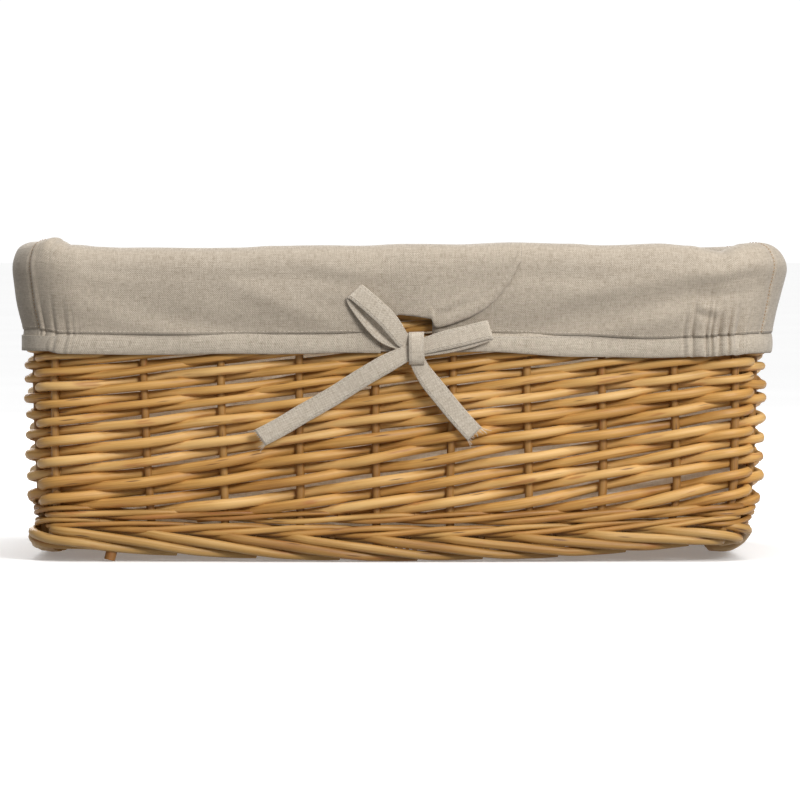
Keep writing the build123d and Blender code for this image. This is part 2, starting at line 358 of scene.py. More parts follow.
# %% The ring
front_low, front_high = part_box("front_siding")
corner_x = front_high[0]
corner_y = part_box("left_siding")[1][1]
siding_low, siding_high = front_low[2], front_high[2]
foot_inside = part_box("base_weave")[1][0] - corner_x
lean = (-front_high[1] - corner_y - foot_inside) / siding_low
wall_thickness = -front_low[1] - corner_y - foot_inside - lean * siding_high
foot_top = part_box("foot_border_long_sides")[1][2]
border_low = height_range("top_border_long_sides")[0]
rod_corner = foot_inside + wall_thickness / 2 + lean * (siding_low + siding_high) / 2
cloth_corner = -front_y - corner_y
print("wall", round(wall_thickness / MM, 1), "mm thick, leaning out", round(lean * 100, 1), "mm in 100")
FRONT_BELLY = 5 * MM           # how far the front and back bulge in their middle
SIDE_BELLY = -1.5 * MM         # the ends are drawn in instead
LIFT_FALL = 2.2                # how fast the foot's lift dies away from a corner
LIFTED_HEIGHT = 60 * MM        # the walls are level again above this
# How far the foot lifts at each corner: front right, back right, back left, front left.
CORNER_LIFTS = [9.0 * MM, 6.0 * MM, 6.0 * MM, 6.5 * MM]
# Where the hand-made end walls stray from straight ones: height, left wall out, right wall out, in mm.
STRAY = [
    (0, 1.4, -13.5), (12, 1.5, -11.0), (28, 1.8, -4.6), (42, 2.0, -3.4), (75, 1.9, -3.6), (110, 1.6, -4.6),
    (126, -1.6, -5.0), (146, -0.4, -2.4), (166, 0.6, -0.6), (200, 0.6, -0.6),
]


def ring_radius(height):
    return foot_inside + wall_thickness / 2 + lean * height


def ring_length(corner):
    return 4 * (corner_x + corner_y) + 2 * math.pi * corner


def strayed(point):
    """The point moved with its end wall: fully at the corners, not at all in the middle."""
    height = point.z / MM
    for (z0, left0, right0), (z1, left1, right1) in zip(STRAY, STRAY[1:]):
        if height <= z1:
            break
    share = max(0.0, (height - z0) / (z1 - z0))
    weight = min(1.0, abs(point.x) / corner_x) ** 2
    if point.x < 0:
        point.x -= (left0 + (left1 - left0) * share) * MM * weight
    else:
        point.x += (right0 + (right1 - right0) * share) * MM * weight
    return point


def base_lift(x, y):
    """How far the base is lifted with the corners of the foot."""
    corner = (0 if y < 0 else 1) if x > 0 else (3 if y < 0 else 2)
    share = min(1.0, abs(x) / corner_x) * min(1.0, abs(y) / corner_y)
    return CORNER_LIFTS[corner] * 0.8 * share ** LIFT_FALL


def ring_place(around, corner):
    """Where a distance round the ring is: a point on the corner rectangle, the outward
    direction there, the belly, and how far the foot lifts there."""
    around %= ring_length(corner)
    quarter = math.pi / 2 * corner
    for side in range(4):
        half = corner_x if side % 2 == 0 else corner_y
        turn = -math.pi / 2 + side * math.pi / 2
        outward = Vector((math.cos(turn), math.sin(turn), 0))
        along = Vector((-outward.y, outward.x, 0))
        core = Vector((outward.x * corner_x, outward.y * corner_y, 0))
        if around <= 2 * half:
            step = around / half - 1
            belly = (FRONT_BELLY if side % 2 == 0 else SIDE_BELLY) * math.cos(step * math.pi / 2) ** 2
            lift = CORNER_LIFTS[side if step > 0 else side - 1] * abs(step) ** LIFT_FALL
            return core + along * step * half, outward, belly, lift
        around -= 2 * half
        if around <= quarter or side == 3:
            angle = turn + around / corner
            outward = Vector((math.cos(angle), math.sin(angle), 0))
            return core + along * half, outward, 0.0, CORNER_LIFTS[side]
        around -= quarter


def ring_point(around, height, out, corner):
    """A point at a distance round the ring, out from the corner rectangle."""
    core, outward, belly, lift = ring_place(around, corner)
    point = core + outward * (out + belly)
    point.z = height + lift * max(0.0, 1 - height / LIFTED_HEIGHT) ** 1.3
    return strayed(point)


# %% Where the stakes stand
STAKE_SPACING = 42.3 * MM
STAKE_SHIFT = 7.8 * MM         # the weaver started a little to one side
CORNER_STAKE_TURN = math.radians(34)
STAKE_RADIUS = 2.3 * MM
SIDE_STAKES = 8                # on each of the four straight sides
side_spacing = (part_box("left_stakes")[1][1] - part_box("left_stakes")[0][1]) / (SIDE_STAKES - 1)


def stake_spots():
    """Distance round the ring of every stake, from the front left corner anticlockwise."""
    quarter = math.pi / 2 * rod_corner
    near = rod_corner * CORNER_STAKE_TURN
    steps = [i - (SIDE_STAKES - 1) / 2 for i in range(SIDE_STAKES)]
    spots = []
    start = 0.0
    # The front and the right end first, then the back and the left end in the same way.
    for _ in range(2):
        spots += [start - near]
        spots += [start + corner_x + STAKE_SHIFT + step * STAKE_SPACING for step in steps]
        spots += [start + 2 * corner_x + near]
        start += 2 * corner_x + quarter
        spots += [start + corner_y + step * side_spacing for step in steps]
        start += 2 * corner_y + quarter
    return spots


STAKES = stake_spots()
STAKE_COUNT = len(STAKES)
print("stakes", STAKE_COUNT, "ring", round(ring_length(rod_corner), 3))


def rod_point(turn, height, out):
    """A point in the wall, with how far round it is counted in stakes."""
    lap, step = divmod(turn, STAKE_COUNT)
    first = int(step)
    share = step - first
    here = STAKES[first]
    after = STAKES[first + 1] if first + 1 < STAKE_COUNT else STAKES[0] + ring_length(rod_corner)
    around = here + (after - here) * share + lap * ring_length(rod_corner)
    return ring_point(around, height, ring_radius(height) + out, rod_corner)


# %% [markdown]
# ## Bending one rod
#
# A willow rod starts as a straight, closed bar of unit size: a disc extruded step by
# step. Each rod is a copy of that bar. Its wood is written down in two attributes, a
# Curve modifier bends it along its path, and the path's own radius gives the taper
# from the thick butt to the thin tip.

# %% The straight bar
SIDES = 10
bars = {}


def straight_bar(steps):
    """A closed bar from x = 0 to x = 1 with radius 1, modelled once for each number of steps."""
    if steps not in bars:
        bpy.ops.object.select_all(action="DESELECT")
        bpy.ops.mesh.primitive_circle_add(
            vertices=SIDES, radius=1, fill_type="NGON", rotation=(0, math.radians(90), 0)
        )
        bpy.ops.object.transform_apply(rotation=True)
        bpy.ops.object.mode_set(mode="EDIT")
        bpy.ops.mesh.select_all(action="SELECT")
        for _ in range(steps):
            bpy.ops.mesh.extrude_region_move(TRANSFORM_OT_translate={"value": (1 / steps, 0, 0)})
        bpy.ops.mesh.select_all(action="SELECT")
        bpy.ops.mesh.normals_make_consistent(inside=False)
        bpy.ops.object.mode_set(mode="OBJECT")
        bpy.ops.object.shade_smooth_by_angle(angle=math.radians(50))
        bars[steps] = bpy.context.object.data.copy()
        bpy.ops.object.delete()
    return bars[steps].copy()


def bend_along(piece, path, radii=None):
    """Lay a piece that runs along X on a path of points, made as thick as the radii say."""
    curve = bpy.data.curves.new(piece.name + "_path", "CURVE")
    curve.dimensions = "3D"
    spline = curve.splines.new("POLY")
    spline.points.add(len(path) - 1)
    for point, place, radius in zip(spline.points, path, radii or [1.0] * len(path)):
        point.co = (*place, 1)
        point.radius = radius
    guide = bpy.data.objects.new(curve.name, curve)
    bpy.context.scene.collection.objects.link(guide)
    bpy.context.view_layer.objects.active = piece
    bend = piece.modifiers.new("bend", "CURVE")
    bend.object = guide
    bend.deform_axis = "POS_X"
    bpy.ops.object.modifier_apply(modifier=bend.name)
    bpy.data.objects.remove(guide)


def bend_rod(name, path, radii, tone, steps):
    """A rod along path, a list of points, with a radius at each of them."""
    mesh = straight_bar(steps)
    mesh.transform(Matrix.Diagonal((running_length(path)[-1], 1, 1, 1)))
    rod = bpy.data.objects.new(name, mesh)
    bpy.context.scene.collection.objects.link(rod)
    grain = mesh.attributes.new("grain", "FLOAT_VECTOR", "POINT")
    wood_start = tone * 37.0
    for vertex, value in zip(mesh.vertices, grain.data):
        x, y, z = vertex.co
        value.vector = (x + wood_start, y * radii[0], z * radii[0])
    tones = mesh.attributes.new("tone", "FLOAT", "POINT")
    tones.data.foreach_set("value", [tone] * len(mesh.vertices))
    bend_along(rod, path, radii)
    return rod


def bundle(name, rods, finish):
    """Join rods into one piece."""
    bpy.ops.object.select_all(action="DESELECT")
    for rod in rods:
        rod.select_set(True)
    bpy.context.view_layer.objects.active = rods[0]
    bpy.ops.object.join()
    piece = bpy.context.object
    piece.name = piece.data.name = name
    piece.data.materials.clear()
    piece.data.materials.append(finish)
    print(name, len(rods), "rods", len(piece.data.polygons), "faces")
    return piece


def wander(seed, place, size):
    """Smooth, repeatable unevenness: -size to size."""
    return size * noise.noise(Vector((place, seed * 7.31, 2.5)))


# %% [markdown]
# ## The stakes
#
# Thirty-six upright stakes carry the weave. They are the first rods in, a little
# crooked, and their tops disappear into the border.


# %% Stakes
STAKE_STEPS = 12
LEANING_STAKES = {1: -5.5 * MM, 2: -3.0 * MM, 5: 1.5 * MM, 6: -1.5 * MM}


def make_stake(index):
    tilt = LEANING_STAKES.get(index, random.Random(index).uniform(-1.5, 1.5) * MM) / STAKE_SPACING
    middle_height = (siding_low + siding_high) / 2
    lowest = foot_top - 6 * MM
    rise = border_low - foot_top + 8 * MM
    path, radii = [], []
    for step in range(STAKE_STEPS + 1):
        height = lowest + step * rise / STAKE_STEPS
        turn = index + tilt * (height - middle_height) / (siding_high - siding_low)
        turn += wander(index, height * 22, 0.02)
        path.append(rod_point(turn, height, wander(index + 50, height * 18, 0.5 * MM)))
        taper = 1.04 - 0.10 * step / STAKE_STEPS
        radii.append(STAKE_RADIUS * (taper + wander(index, step * 1.7, 0.06)))
    return bend_rod(f"stake_{index}", path, radii, random.Random(index).uniform(0.2, 0.8), 14)


STAKE_GROUPS = {"front": range(0, 10), "right": range(10, 18), "back": range(18, 28), "left": range(28, 36)}
for side, numbers in STAKE_GROUPS.items():
    stakes = bundle(f"{side}_stake_rods", [make_stake(i) for i in numbers], willow_finishes["stake"])
    settle(stakes, "basket", [f"{side}_stakes"])

# %% [markdown]
# ## The siding
#
# French rand: one rod starts at every stake, all at the foot, and each goes in front
# of one stake and behind the next while it climbs. Since every rod does the same one
# stake further on, the whole wall rises to the right at the same slope. The rods are
# thick at the foot and thin under the rim.

# %% Siding rods
STEPS_A_STAKE = 6
ROD_STAKES = 25
SIDING_GROUPS = 6


def siding_height_at(step):
    """Height of a siding rod after a number of stakes: steep at first, flatter as it thins."""
    return (25.7 + 6.82 * step - 0.0875 * step * step) * MM


def siding_radius_at(step):
    return (3.05 - 0.037 * step) * MM


# Rods run flatter round each corner, and make up the height along the straight sides.
CORNER_TURNS = [9.7, 17.3, 27.7, 35.3]
FLATTEN = 4.6 * MM
FLAT_SPREAD = 0.75


def corner_sag(turn):
    """How far a rod is above or below its even slope, a number of stakes round the basket."""
    total = 0.0
    drop = FLATTEN * FLAT_SPREAD * math.sqrt(math.pi)
    for middle in CORNER_TURNS:
        gap = (turn - middle + STAKE_COUNT / 2) % STAKE_COUNT - STAKE_COUNT / 2
        total += drop * (gap / STAKE_COUNT - math.erf(gap / FLAT_SPREAD) / 2)
    return total


def make_siding_rod(index):
    chance = random.Random(1000 + index)
    stout = chance.uniform(0.85, 1.06)
    lift = chance.uniform(-1.1, 1.1) * MM
    tone = chance.random()
    path, radii = [], []
    for tick in range(int(-0.45 * STEPS_A_STAKE), ROD_STAKES * STEPS_A_STAKE + 1):
        step = tick / STEPS_A_STAKE
        radius = siding_radius_at(step) * stout
        reach = (STAKE_RADIUS + radius) * 0.93
        height = siding_height_at(step) + lift + wander(index, step * 0.9, 1.6 * MM)
        from_edge = min(height - siding_low, siding_high - height)
        height += corner_sag(index + step) * clamp(from_edge / (18 * MM))
        out = 0.4 * MM - math.cos(math.pi * step) * reach + wander(index + 90, step * 0.7, 0.4 * MM)
        path.append(rod_point(index + step, height, out))
        radii.append(radius * (1 + wander(index + 200, step * 3.1, 0.10)))
    return bend_rod(f"siding_{index}", path, radii, tone, len(path) - 1)


SIDING_NODES = ["front_siding", "back_siding", "left_siding", "right_siding", "siding_corners"]
for group in range(SIDING_GROUPS):
    rods = [make_siding_rod(index) for index in range(group, STAKE_COUNT, SIDING_GROUPS)]
    siding = bundle(f"siding_rods_{group + 1}", rods, willow_finishes["siding"])
    settle(siding, "basket", SIDING_NODES)

# %% [markdown]
# ## The wales
#
# A wale is a band of three thin rods worked together: each passes in front of two
# stakes and behind the third, one stake after its neighbour. Two rounds lock the
# stakes above the foot, and one round closes the siding under the border. New rods
# are laid in where the old ones run out.


# %% Wale rods
WALE_STAKES = 12               # how far round one rod reaches


def make_wale_rod(name, first, middle, rise, radius, seed):
    """One rod of a wale from stake first on: behind it, then in front of two."""
    chance = random.Random(seed)
    stout = chance.uniform(0.86, 1.12)
    lift = chance.uniform(-0.5, 0.5) * MM
    path, radii = [], []
    for tick in range(-3, WALE_STAKES * STEPS_A_STAKE + 4):
        step = tick / STEPS_A_STAKE
        phase = step % 3
        front = 0.5 - math.cos(2 * math.pi * phase / 3) / 2
        out = (2 * min(1.0, front * 1.5) - 1) * (STAKE_RADIUS + radius) * 0.95
        climb = -math.sin(2 * math.pi * phase / 3) * rise
        height = middle + climb + lift + wander(seed, step * 0.8, 0.7 * MM)
        path.append(rod_point(first + step, height, out))
        share = step / WALE_STAKES
        radii.append(radius * stout * (1.18 - 0.36 * share + wander(seed + 9, step * 2.3, 0.10)))
    return bend_rod(name, path, radii, chance.random(), len(path) - 1)


def make_wale(name, middles, rise, radius):
    rods = []
    for level, middle in enumerate(middles):
        for strand in range(3):
            for lap in range(0, STAKE_COUNT, WALE_STAKES):
                first = lap + strand + 4 * level
                seed = 3000 + 100 * level + 10 * strand + lap
                rod_name = f"{name}_{level}_{strand}_{lap}"
                rods.append(make_wale_rod(rod_name, first, middle, rise, radius, seed))
    return bundle(name, rods, willow_finishes["wale"])


# For each wale: where its rounds run, as shares of its height, then its swing and its rods' radius.
for name, rounds, rise, radius in (
    ("lower_wale", [0.20, 0.72], 2.1 * MM, 1.6 * MM),
    ("upper_wale", [0.50], 1.7 * MM, 1.5 * MM),
):
    low, high = height_range(f"{name}_long_sides")
    wale = make_wale(f"{name}_rods", [low + share * (high - low) for share in rounds], rise, radius)
    settle(wale, "basket", band_nodes(name))

# %% [markdown]
# ## Foot and top borders
#
# Both borders are made from the stakes' own ends. At the foot each thick rod comes out
# from under the wale with an elbow, slants down past the next stake and tucks itself
# under the edge. At the top each stake bends over to the right, passes in front of two
# others, goes over the rim and ends inside.

# %% Border rods
BORDER_SEED = 5000
# Each row is: stakes further on, then out from the ring and height in mm.
FOOT_ROUTE = [
    (-0.45, -5.0, 12.6), (-0.18, -1.5, 13.0), (0.02, 3.2, 12.7), (0.25, 6.0, 11.4), (0.90, 6.6, 8.0),
    (1.40, 6.2, 5.2), (1.75, 4.2, 3.5), (2.10, 0.0, 3.0), (2.50, -5.0, 3.0),
]
TOP_ROUTE = [
    (0.00, 0.0, 150.0), (0.10, 0.5, 155.0), (0.35, 3.2, 158.5), (0.90, 6.0, 161.5), (1.50, 6.2, 164.2),
    (2.00, 4.4, 167.1), (2.40, 1.0, 168.8), (2.80, -4.0, 168.2), (3.20, -6.8, 164.0), (3.60, -6.6, 158.5),
]


def smooth_route(route, steps):
    """Points along a smooth line through the rows of a route."""
    points = []
    for index in range(len(route) - 1):
        before = Vector(route[max(index - 1, 0)])
        start, end = Vector(route[index]), Vector(route[index + 1])
        after = Vector(route[min(index + 2, len(route) - 1)])
        for tick in range(steps):
            t = tick / steps
            blend = start * 2 + (end - before) * t + (before * 2 - start * 5 + end * 4 - after) * t * t
            points.append((blend + (start * 3 - before - end * 3 + after) * t ** 3) / 2)
    return points + [Vector(route[-1])]


def make_border_rod(name, route, index, radius, unevenness):
    seed = BORDER_SEED + index
    chance = random.Random(seed)
    shift = chance.uniform(-1, 1) * unevenness
    lift = chance.uniform(-0.4, 0.4) * MM
    stout = chance.uniform(0.92, 1.08)
    path, radii = [], []
    for turn, out, height in smooth_route(route, 4):
        path.append(rod_point(index + turn + shift, height * MM + lift * 0.5, out * MM))
        radii.append(radius * stout * (1 + wander(seed, turn * 3, 0.07)))
    return bend_rod(f"{name}_{index}", path, radii, chance.random(), len(path) - 1)


def make_foot_peg(steps=6):
    """The cut end of one stake that shows under the foot, near the front left corner."""
    top = ring_point(corner_x - 157 * MM, 9 * MM, ring_radius(0) + 1 * MM, rod_corner)
    tip = ring_point(corner_x - 160 * MM, 9 * MM, ring_radius(0) + 2 * MM, rod_corner)
    tip.z = 0.8 * MM
    path = [top.lerp(tip, step / steps) for step in range(steps + 1)]
    return bend_rod("foot_peg", path, [PEG_RADIUS] * (steps + 1), PEG_SHADE_TONE, steps)


PEG_RADIUS = 3.1 * MM
PEG_SHADE_TONE = -1.2                # darker than any rod: painted shade for the peg's place under the foot
FOOT_ROD_RADIUS = 2.6 * MM
TOP_ROD_RADIUS = 2.35 * MM
for name, route, radius, uneven in (
    ("foot_border", FOOT_ROUTE, FOOT_ROD_RADIUS, 0.13),
    ("top_border", TOP_ROUTE, TOP_ROD_RADIUS, 0.06),
):
    for half, side in enumerate(("front", "back")):
        numbers = range(half * STAKE_COUNT // 2, (half + 1) * STAKE_COUNT // 2)
        rods = [make_border_rod(name, route, i, radius, uneven) for i in numbers]
        if name == "foot_border" and side == "front":
            rods.append(make_foot_peg())
        border = bundle(f"{name}_rods_{side}", rods, willow_finishes["border"])
        settle(border, "basket", band_nodes(name))

# %% [markdown]
# ## The base
#
# Seven long sticks lie along the basket, and thin rods are woven across them, over
# one stick and under the next.

# %% Base weave
stick_low, stick_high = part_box("base_sticks")
stick_height = (stick_low[2] + stick_high[2]) / 2
stick_thickness = stick_high[2] - stick_low[2]
BASE_STICKS = 7
stick_spacing = (stick_high[1] - stick_low[1] - stick_thickness) / (BASE_STICKS - 1)
BASE_ROD_RADIUS = 1.6 * MM
BASE_ROD_GAP = 4.1 * MM


def make_base_rod(index, x):
    beyond = max(0.0, abs(x) - corner_x)
    reach = corner_y + math.sqrt(max(0.0, (foot_inside - 1 * MM) ** 2 - beyond ** 2))
    path, radii = [], []
    steps = 56
    for step in range(steps + 1):
        y = -reach + 2 * reach * step / steps
        swing = math.cos(math.pi * y / stick_spacing) * (1 if index % 2 else -1)
        height = stick_height + swing * 3.9 * MM + base_lift(x, y)
        path.append(strayed(Vector((x + wander(index, y * 30, 0.5 * MM), y, height))))
        radii.append(BASE_ROD_RADIUS * (1 + wander(index, y * 60, 0.10)))
    return bend_rod(f"base_{index}", path, radii, random.Random(7000 + index).random(), steps)


base_reach = corner_x + foot_inside - 3 * MM
base_count = int(2 * base_reach / BASE_ROD_GAP)
rods = [make_base_rod(i, -base_reach + 2 * base_reach * i / (base_count - 1)) for i in range(base_count)]
base_weavers = bundle("base_weavers", rods, willow_finishes["siding"])
settle(base_weavers, "basket", ["base_weave"])


# %% Base sticks
def make_base_stick(index, steps=40):
    y = (index - (BASE_STICKS - 1) / 2) * stick_spacing
    reach = stick_high[0] - 2 * MM
    path, radii = [], []
    for step in range(steps + 1):
        x = -reach + 2 * reach * step / steps
        bend = wander(index, x * 12, 0.8 * MM)
        path.append(strayed(Vector((x, y + bend, stick_height + base_lift(x, y)))))
        radii.append(stick_thickness / 2 * (1 + wander(index, x * 30, 0.08)))
    return bend_rod(f"base_stick_{index}", path, radii, random.Random(7500 + index).random(), steps)


sticks = [make_base_stick(i) for i in range(BASE_STICKS)]
# The sticks take the stakes' darker finish, which is painted shade.
base_stick_rods = bundle("base_stick_rods", sticks, willow_finishes["stake"])
settle(base_stick_rods, "basket", ["base_sticks"])

# %% [markdown]
# ## Linen
#
# The liner is unbleached linen in plain weave, about sixteen threads to the
# centimetre. Some threads are thicker or darker than others for a stretch, which is
# what gives linen its slubs. The pattern runs on the cloth's own UV map, in metres,
# so the threads follow the cloth round every corner.

# %% Linen finish
THREAD = 0.62 * MM
TOPSTITCH_OFFSET = 4.2 * MM    # from the tape's middle to the row of stitches along each edge
TOPSTITCH_PITCH = 2.6 * MM


def linen(name, pale, middle, deep, stitched_edges=False, see_through=0.0):
    finish = Finish(name)
    cloth = finish.uv("cloth")
    parts = finish.node("ShaderNodeSeparateXYZ", {}, {0: cloth})
    across, along = Amount(finish, parts.outputs[0]), Amount(finish, parts.outputs[1])
    warp = finish.streaks(cloth, (1 / THREAD, 260, 1))
    weft = finish.streaks(cloth, (260, 1 / THREAD, 1))
    specks = finish.noise(finish.stretch(cloth, (1 / THREAD, 1 / THREAD, 1)), 1.6, 1.0)
    coarse_warp = finish.streaks(cloth, (520, 60, 1))
    coarse_weft = finish.streaks(cloth, (60, 520, 1))
    slub_warp = finish.between(finish.streaks(cloth, (700, 40, 3)), 0.60, 0.74)
    slub_weft = finish.between(finish.streaks(cloth, (40, 700, 3)), 0.60, 0.74)
    turns = 2 * math.pi / (2 * THREAD)
    weave = finish.reshape("SINE", across * turns) * finish.reshape("SINE", along * turns)
    blotch = finish.streaks(cloth, (35, 35, 1), 3.0)
    threads = (warp + weft) * 0.27 + (coarse_warp + coarse_weft) * 0.08 + specks * 0.30
    shade = threads + weave * 0.07 + (blotch - 0.5) * 0.08
    colour = finish.ramp(shade, [(0.36, deep), (0.50, middle), (0.64, pale)])
    colour = finish.mix(slub_warp * 0.20, colour, (*pale, 1))
    colour = finish.mix(slub_weft * 0.16, colour, (*deep, 1))
    relief = weave * 0.5 + warp * 0.7 + weft * 0.7 + slub_warp * 0.4 + slub_weft * 0.4
    if stitched_edges:
        off_line = finish.reshape("ABSOLUTE", finish.reshape("ABSOLUTE", across) - TOPSTITCH_OFFSET)
        wave = finish.reshape("SINE", along * (2 * math.pi / TOPSTITCH_PITCH))
        stitch = (1 - finish.between(off_line, 0.15 * MM, 0.34 * MM)) * finish.between(wave, -0.5, 0.0)
        groove_dent_and_shade = 1 - finish.between(off_line, 0.2 * MM, 0.8 * MM)
        # Painted shade: the tape is darkened along the dented groove of each row of stitches, as well as
        # dented by the bump.
        colour = finish.mix(groove_dent_and_shade * 0.28, colour, (*deep, 1))
        colour = finish.mix(stitch * 0.75, colour, (*pale, 1))
        relief = relief + stitch * 1.6 - groove_dent_and_shade * 1.8
    finish.feed(
        Base_Color=colour,
        Roughness=0.88,
        Normal=finish.bump(relief, 0.18 * MM, 0.8),
        Sheen_Weight=0.25,
        Sheen_Roughness=0.5,
        Specular_IOR_Level=0.2,
        Subsurface_Weight=see_through,
        Subsurface_Radius=(1.0, 0.94, 0.86),
        Subsurface_Scale=3 * MM,
    )
    return finish.material


liner_linen = linen("liner_linen", (0.58, 0.505, 0.41), (0.465, 0.395, 0.312), (0.32, 0.262, 0.195))
# The casing is the cuff's own cloth, painted paler: painted light on the casing's bulge.
casing_linen = linen("casing_linen", (0.62, 0.545, 0.445), (0.50, 0.43, 0.342), (0.35, 0.29, 0.22))
# Light from inside the basket comes through the pouch's single layer. Its colours are
# painted much paler than the cuff's own cloth: painted light on the linen seen between the rods.
pouch_linen = linen(
    "pouch_linen", (0.80, 0.70, 0.61), (0.71, 0.61, 0.52), (0.57, 0.48, 0.395), see_through=1.0
)
ribbon_linen = linen(
    "ribbon_linen", (0.68, 0.61, 0.51), (0.56, 0.485, 0.39), (0.40, 0.33, 0.25), stitched_edges=True
)
print("linens: cuff, casing, pouch and ribbon, with threads", round(THREAD / MM, 2), "mm apart")


# %% [markdown]
# ## Sewing cloth from grids
#
# Every piece of cloth is a flat grid first. Its UV map is drawn in metres while it
# is flat, then each point moves to its place, and Solidify gives the cloth a thickness.


# %% Cloth from a grid
def make_cloth(name, columns, rows, shape, thickness, finish, offset=0.0, closed=False):
    """A sheet with shape(column, row) giving each point's place and its (across, along) on the
    flat cloth. The last column of a closed sheet is welded to the first."""
    bpy.ops.object.select_all(action="DESELECT")
    bpy.ops.mesh.primitive_grid_add(x_subdivisions=columns - 1, y_subdivisions=rows - 1, size=1)
    sheet = bpy.context.object
    sheet.name = sheet.data.name = name
    layout = sheet.data.uv_layers[0]
    layout.name = "cloth"
    flat = []
    for vertex in sheet.data.vertices:
        column = round((vertex.co.x + 0.5) * (columns - 1))
        row = round((vertex.co.y + 0.5) * (rows - 1))
        vertex.co, spot = shape(column, row)
        flat.append(spot)
    for loop in sheet.data.loops:
        layout.data[loop.index].uv = flat[loop.vertex_index]
    edit_mesh(bpy.ops.mesh.normals_make_consistent, inside=False)
    if closed:
        edit_mesh(bpy.ops.mesh.remove_doubles, threshold=0.05 * MM)
    bpy.ops.object.shade_smooth()
    sheet.data.materials.append(finish)
    solid = sheet.modifiers.new("thickness", "SOLIDIFY")
    solid.thickness = thickness
    solid.offset = offset
    solid.use_even_offset = False
    bpy.ops.object.modifier_apply(modifier=solid.name)
    print(name, len(sheet.data.polygons), "faces")
    return sheet


# %% [markdown]
# ## The cuff
#
# The liner comes up inside the basket, rolls over the border and hangs outside as a
# cuff. The cuff is one long strip. It starts at the slit in the front, goes right
# round, and its other end laps over its beginning in a curved pleat, above the slit.

# %% The cuff's cross-section
CLOTH = 0.7 * MM
hem_height, casing_top = height_range("front_left_casing")
rim_outside = cloth_corner
rim_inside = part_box("liner_right_wall")[1][0] - corner_x

# Reach from the corner rectangle and height, from the casing's stitching up, over and in.
CUFF_SECTION = [
    (rim_outside - 2.6 * MM, casing_top - 1.0 * MM),
    (rim_outside - 2.2 * MM, casing_top + 4 * MM),
    (rim_outside - 1.2 * MM, casing_top + 14 * MM),
    (rim_outside - 0.2 * MM, casing_top + 25 * MM),
    (rim_outside + 0.5 * MM, casing_top + 34 * MM),
    (rim_outside - 0.3 * MM, casing_top + 40 * MM),
    (rim_outside - 2.8 * MM, rim_height - 3.4 * MM),
    (rim_outside - 7.2 * MM, rim_height - 0.7 * MM),
    (rim_outside - 12.5 * MM, rim_height + 0.1 * MM),
    (rim_inside + 3.4 * MM, rim_height - 0.6 * MM),
    (rim_inside + 0.2 * MM, rim_height - 3.2 * MM),
    (rim_inside - 0.6 * MM, rim_height - 8.0 * MM),
]


cuff_points = smooth_route([(*corner, 0) for corner in CUFF_SECTION], 10)
cuff_distances = running_length(cuff_points)
cuff_height = cuff_distances[-1]
print("cuff runs", round(cuff_height * 1000, 1), "mm from stitching to the inside of the rim")


def on_section(distance):
    """The reach and height of the cuff at a distance up its section."""
    for index in range(1, len(cuff_points)):
        if cuff_distances[index] >= distance or index == len(cuff_points) - 1:
            span = cuff_distances[index] - cuff_distances[index - 1]
            share = (distance - cuff_distances[index - 1]) / span
            spot = cuff_points[index - 1].lerp(cuff_points[index], clamp(share))
            return spot.x, spot.y


# %% Folds and gathers
CLOTH_RING = ring_length(cloth_corner)
QUARTER = math.pi / 2 * cloth_corner
PUCKER = 5.4 * MM              # width of one gather
front_middle = corner_x        # distance round the ring to the middle of the front
# Distance round the ring to the start of each corner: front right, back right, back left, front left.
CORNER_STARTS = [
    2 * corner_x,
    2 * corner_x + QUARTER + 2 * corner_y,
    4 * corner_x + 2 * QUARTER + 2 * corner_y,
    -QUARTER,
]
# For each corner: where its gathers are centred, how far they spread and how deep they are.
GATHERS = [
    (CORNER_STARTS[0] + QUARTER / 2 - 26 * MM, 19 * MM, 1.9 * MM),
    (CORNER_STARTS[1] + QUARTER / 2 - 6 * MM, 24 * MM, 1.5 * MM),
    (CORNER_STARTS[2] + QUARTER / 2 + 4 * MM, 24 * MM, 1.5 * MM),
    (CORNER_STARTS[3] + QUARTER / 2 + 12 * MM, 15 * MM, 0.55 * MM),
]


def ring_gap(a, b):
    """Shortest signed distance from b to a round the cloth's ring."""
    return (a - b + CLOTH_RING / 2) % CLOTH_RING - CLOTH_RING / 2


def gather_depth(around):
    """How strongly the drawstring has gathered the hem here."""
    total = 0.0
    for middle, spread, depth in GATHERS:
        total += depth * math.exp(-((ring_gap(around, middle) / spread) ** 4))
    return total


def gather_wave(around):
    """Rounded puckers with narrow valleys between them: 1 on a pucker, -1 in a valley."""
    uneven = around + 1.5 * MM * math.sin(around * 230) + 1.1 * MM * math.sin(around * 517)
    return 2 * abs(math.cos(uneven / PUCKER * math.pi)) ** 0.75 - 1


def soft_fold(around, height):
    """Broad shallow folds that slant across the cuff, and the sag between the rim's rods."""
    slant = noise.noise(Vector((around * 11 + height * 16, height * 30 - around * 4, 1.7)))
    small = noise.noise(Vector((around * 34, height * 48, 8.2)))
    return slant * 2.4 * MM + small * 0.6 * MM


# Folds that the front's cuff has hung into: X and height of both ends, width and depth, in mm.
FOLDS = [
    (-96, 157, -36, 130, 7.0, 1.5), (-88, 166, -10, 152, 5.0, -1.1), (-190, 147, -112, 122, 8.0, 1.1),
    (-172, 163, -96, 163, 3.6, -1.0), (-150, 139, -80, 128, 6.0, -1.0), (70, 128, 128, 150, 6.0, -1.2),
    (96, 147, 200, 167, 5.5, 1.3), (108, 134, 196, 156, 6.5, -1.7), (90, 121, 166, 143, 7.0, 1.5),
    (60, 160, 112, 158, 5.0, -1.0), (138, 163.5, 152, 162, 1.5, 0.8), (167, 139, 179, 135.5, 1.7, -1.3),
    (168, 142.5, 182, 140, 1.8, 0.9), (19, 137, 34, 147.5, 2.2, 0.7),
]


